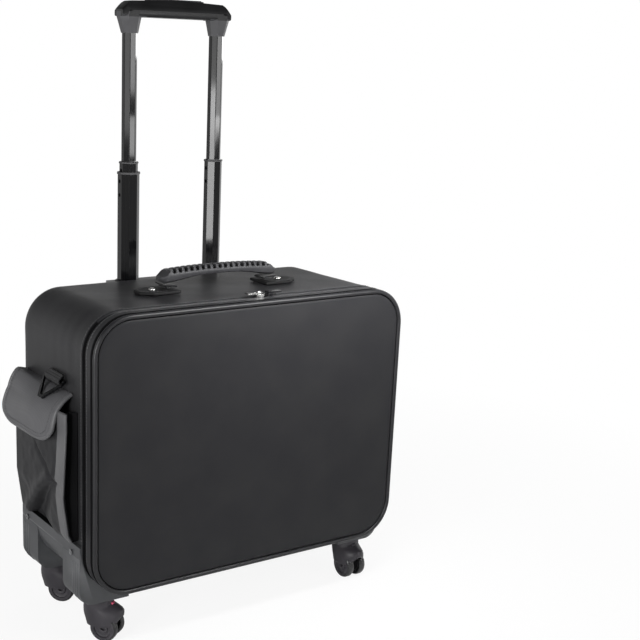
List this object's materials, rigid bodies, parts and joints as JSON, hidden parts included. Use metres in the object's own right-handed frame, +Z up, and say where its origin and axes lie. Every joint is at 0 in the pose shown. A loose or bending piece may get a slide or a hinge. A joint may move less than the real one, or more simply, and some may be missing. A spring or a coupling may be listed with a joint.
{
  "type": "rolling makeup case",
  "caption": "Soft-sided rolling makeup case with a zipped drop-front lid, telescopic trolley handle, carry handle, flapped side pockets and swivel casters under moulded bases.",
  "frame": {"origin": "centre of the bounding box in plan, on the floor under the wheels", "axes": "+Z up, -Y towards the lid (the front), +X to the right seen from the front"},
  "size_m": [0.5326, 0.2424, 0.784],
  "materials": {
    "coated_nylon": "smooth coated weave",
    "piping_cord": "satin",
    "zip_tape": "woven tape",
    "webbing": "woven webbing",
    "lining": "matte lining over board",
    "mesh": "open mesh",
    "clear_film": "clear film",
    "tube": "dark anodised",
    "moulded_plastic": "satin moulding",
    "base_plastic": "fine grain moulding",
    "button_plastic": "polished",
    "steel": "plated",
    "zip_metal": "bright plated",
    "handle_rubber": "moulded soft grip",
    "wheel_rubber": "smooth",
    "red_plastic": "moulded"
  },
  "bodies": {
    "case": {"body_shell": "coated_nylon", "zip_tape_case": "zip_tape", "trolley_top_bracket": "moulded_plastic", "trolley_bottom_bracket": "moulded_plastic", "housing_left": "tube", "housing_right": "tube", "stage1_right": "tube", "case_screws": "steel", "pocket_left": "coated_nylon", "pocket_right": "coated_nylon", "ring_loops": "webbing", "side_base_left": "base_plastic", "side_base_right": "base_plastic", "caster_sockets": "base_plastic", "handle_plates": "handle_rubber", "handle_rivets": "steel", "bin_left": "lining", "bin_centre": "lining", "bin_right_low": "lining", "bin_right_high": "lining", "divider_tray": "lining", "dividers": "lining", "stay_straps": "webbing", "hinge_strip": "coated_nylon", "handle_straps": "handle_rubber"},
    "lid": {"lid_shell": "coated_nylon", "lid_piping": "piping_cord", "zip_tape_lid": "zip_tape", "lid_pockets": "lining", "mesh_pocket": "mesh", "clear_flap": "clear_film"},
    "outer_tube_left": {"stage1_left": "tube"},
    "middle_tube_left": {"stage2_left": "tube"},
    "middle_tube_right": {"stage2_right": "tube"},
    "trolley": {"stage3_left": "tube", "stage3_right": "tube", "trolley_grip": "moulded_plastic"},
    "release": {"release_button": "button_plastic", "release_linkage": "steel"},
    "carry_handle": {"carry_grip": "handle_rubber"},
    "zip_slider_left": {"slider_left": "zip_metal"},
    "zip_slider_right": {"slider_right": "zip_metal"},
    "zip_pull_left": {"pull_left": "zip_metal"},
    "zip_pull_right": {"pull_right": "zip_metal"},
    "pocket_flap_left": {"flap_left": "coated_nylon"},
    "pocket_flap_right": {"flap_right": "coated_nylon"},
    "strap_ring_left": {"ring_left": "steel"},
    "strap_ring_right": {"ring_right": "steel"},
    "caster_front_left": {"hood_front_left": "base_plastic"},
    "wheel_pair_front_left": {"wheels_front_left": "wheel_rubber"},
    "caster_tab_front_left": {"tab_front_left": "red_plastic"},
    "caster_front_right": {"hood_front_right": "base_plastic"},
    "wheel_pair_front_right": {"wheels_front_right": "wheel_rubber"},
    "caster_tab_front_right": {"tab_front_right": "red_plastic"},
    "caster_rear_left": {"hood_rear_left": "base_plastic"},
    "wheel_pair_rear_left": {"wheels_rear_left": "wheel_rubber"},
    "caster_tab_rear_left": {"tab_rear_left": "red_plastic"},
    "caster_rear_right": {"hood_rear_right": "base_plastic"},
    "wheel_pair_rear_right": {"wheels_rear_right": "wheel_rubber"},
    "caster_tab_rear_right": {"tab_rear_right": "red_plastic"}
  },
  "joints": [
    {"name": "lid_hinge", "type": "hinge", "parent": "case", "child": "lid", "pos_m": [0, -0.0947, 0.074], "axis": [1, 0, 0], "range_deg": [0, 95], "deforming": ["stay_straps", "hinge_strip"]},
    {"name": "trolley_slide", "type": "slide", "parent": "case", "child": "trolley", "axis": [0, 0, 1], "range_m": [-0.3137, 0]},
    {"name": "outer_tube_left_slide", "type": "slide", "parent": "case", "child": "outer_tube_left", "axis": [0, 0, 1], "range_m": [-0.1412, 0]},
    {"name": "middle_tube_left_slide", "type": "slide", "parent": "case", "child": "middle_tube_left", "axis": [0, 0, 1], "range_m": [-0.1512, 0]},
    {"name": "middle_tube_right_slide", "type": "slide", "parent": "case", "child": "middle_tube_right", "axis": [0, 0, 1], "range_m": [-0.1512, 0]},
    {"name": "release_press", "type": "slide", "parent": "trolley", "child": "release", "axis": [0, 0, -1], "range_m": [0, 0.003], "stiffness_N_per_m": 2000, "springref_m": -0.002},
    {"name": "carry_lift", "type": "slide", "parent": "case", "child": "carry_handle", "axis": [0, 0, 1], "range_m": [0, 0.012], "deforming": ["handle_straps"]},
    {"name": "zip_run_left", "type": "slide", "parent": "case", "child": "zip_slider_left", "axis": [-1, 0, 0], "range_m": [0, 0.179]},
    {"name": "zip_run_right", "type": "slide", "parent": "case", "child": "zip_slider_right", "axis": [1, 0, 0], "range_m": [0, 0.14]},
    {"name": "pull_lift_left", "type": "hinge", "parent": "zip_slider_left", "child": "zip_pull_left", "pos_m": [0.0135, -0.0947, 0.4291], "axis": [0, 1, 0], "range_deg": [0, 95]},
    {"name": "pull_lift_right", "type": "hinge", "parent": "zip_slider_right", "child": "zip_pull_right", "pos_m": [0.0265, -0.0947, 0.4291], "axis": [0, -1, 0], "range_deg": [0, 95]},
    {"name": "flap_open_left", "type": "hinge", "parent": "case", "child": "pocket_flap_left", "pos_m": [-0.2303, -0.02674, 0.322], "axis": [0, 1, 0], "range_deg": [0, 55]},
    {"name": "ring_lift_left", "type": "hinge", "parent": "case", "child": "strap_ring_left", "pos_m": [-0.2347, -0.02674, 0.333], "axis": [0, 1, 0], "range_deg": [0, 99.1]},
    {"name": "flap_open_right", "type": "hinge", "parent": "case", "child": "pocket_flap_right", "pos_m": [0.2303, -0.02674, 0.322], "axis": [0, -1, 0], "range_deg": [0, 55]},
    {"name": "ring_lift_right", "type": "hinge", "parent": "case", "child": "strap_ring_right", "pos_m": [0.2347, -0.02674, 0.333], "axis": [0, -1, 0], "range_deg": [0, 99.1]},
    {"name": "swivel_front_left", "type": "hinge", "parent": "case", "child": "caster_front_left", "pos_m": [-0.197, -0.0687, 0.05], "axis": [0, 0, 1], "continuous": true},
    {"name": "spin_front_left", "type": "hinge", "parent": "caster_front_left", "child": "wheel_pair_front_left", "pos_m": [-0.18961, -0.07816, 0.018], "axis": [0.788, 0.6157, 0], "continuous": true},
    {"name": "tab_press_front_left", "type": "slide", "parent": "caster_front_left", "child": "caster_tab_front_left", "axis": [-0.6157, 0.788, 0], "range_m": [0, 0.0015], "stiffness_N_per_m": 400, "springref_m": -0.001},
    {"name": "swivel_front_right", "type": "hinge", "parent": "case", "child": "caster_front_right", "pos_m": [0.197, -0.0687, 0.05], "axis": [0, 0, 1], "continuous": true},
    {"name": "spin_front_right", "type": "hinge", "parent": "caster_front_right", "child": "wheel_pair_front_right", "pos_m": [0.197, -0.0807, 0.018], "axis": [1, 0, 0], "continuous": true},
    {"name": "tab_press_front_right", "type": "slide", "parent": "caster_front_right", "child": "caster_tab_front_right", "axis": [0, 1, 0], "range_m": [0, 0.0015], "stiffness_N_per_m": 400, "springref_m": -0.001},
    {"name": "swivel_rear_left", "type": "hinge", "parent": "case", "child": "caster_rear_left", "pos_m": [-0.197, 0.0593, 0.05], "axis": [0, 0, 1], "continuous": true},
    {"name": "spin_rear_left", "type": "hinge", "parent": "caster_rear_left", "child": "wheel_pair_rear_left", "pos_m": [-0.18851, 0.05081, 0.018], "axis": [0.7071, 0.7071, 0], "continuous": true},
    {"name": "tab_press_rear_left", "type": "slide", "parent": "caster_rear_left", "child": "caster_tab_rear_left", "axis": [-0.7071, 0.7071, 0], "range_m": [0, 0.0015], "stiffness_N_per_m": 400, "springref_m": -0.001},
    {"name": "swivel_rear_right", "type": "hinge", "parent": "case", "child": "caster_rear_right", "pos_m": [0.197, 0.0593, 0.05], "axis": [0, 0, 1], "continuous": true},
    {"name": "spin_rear_right", "type": "hinge", "parent": "caster_rear_right", "child": "wheel_pair_rear_right", "pos_m": [0.18572, 0.0634, 0.018], "axis": [-0.342, -0.9397, 0], "continuous": true},
    {"name": "tab_press_rear_right", "type": "slide", "parent": "caster_rear_right", "child": "caster_tab_rear_right", "axis": [0.9397, -0.342, 0], "range_m": [0, 0.0015], "stiffness_N_per_m": 400, "springref_m": -0.001}
  ],
  "couplings": [
    {"joint": "outer_tube_left_slide", "follows": "trolley_slide", "ratio": 0.44947},
    {"joint": "middle_tube_left_slide", "follows": "trolley_slide", "ratio": 0.48135},
    {"joint": "middle_tube_right_slide", "follows": "trolley_slide", "ratio": 0.48135},
    {"joint": "ring_lift_left", "follows": "flap_open_left", "ratio": 1.8},
    {"joint": "ring_lift_right", "follows": "flap_open_right", "ratio": 1.8}
  ]
}
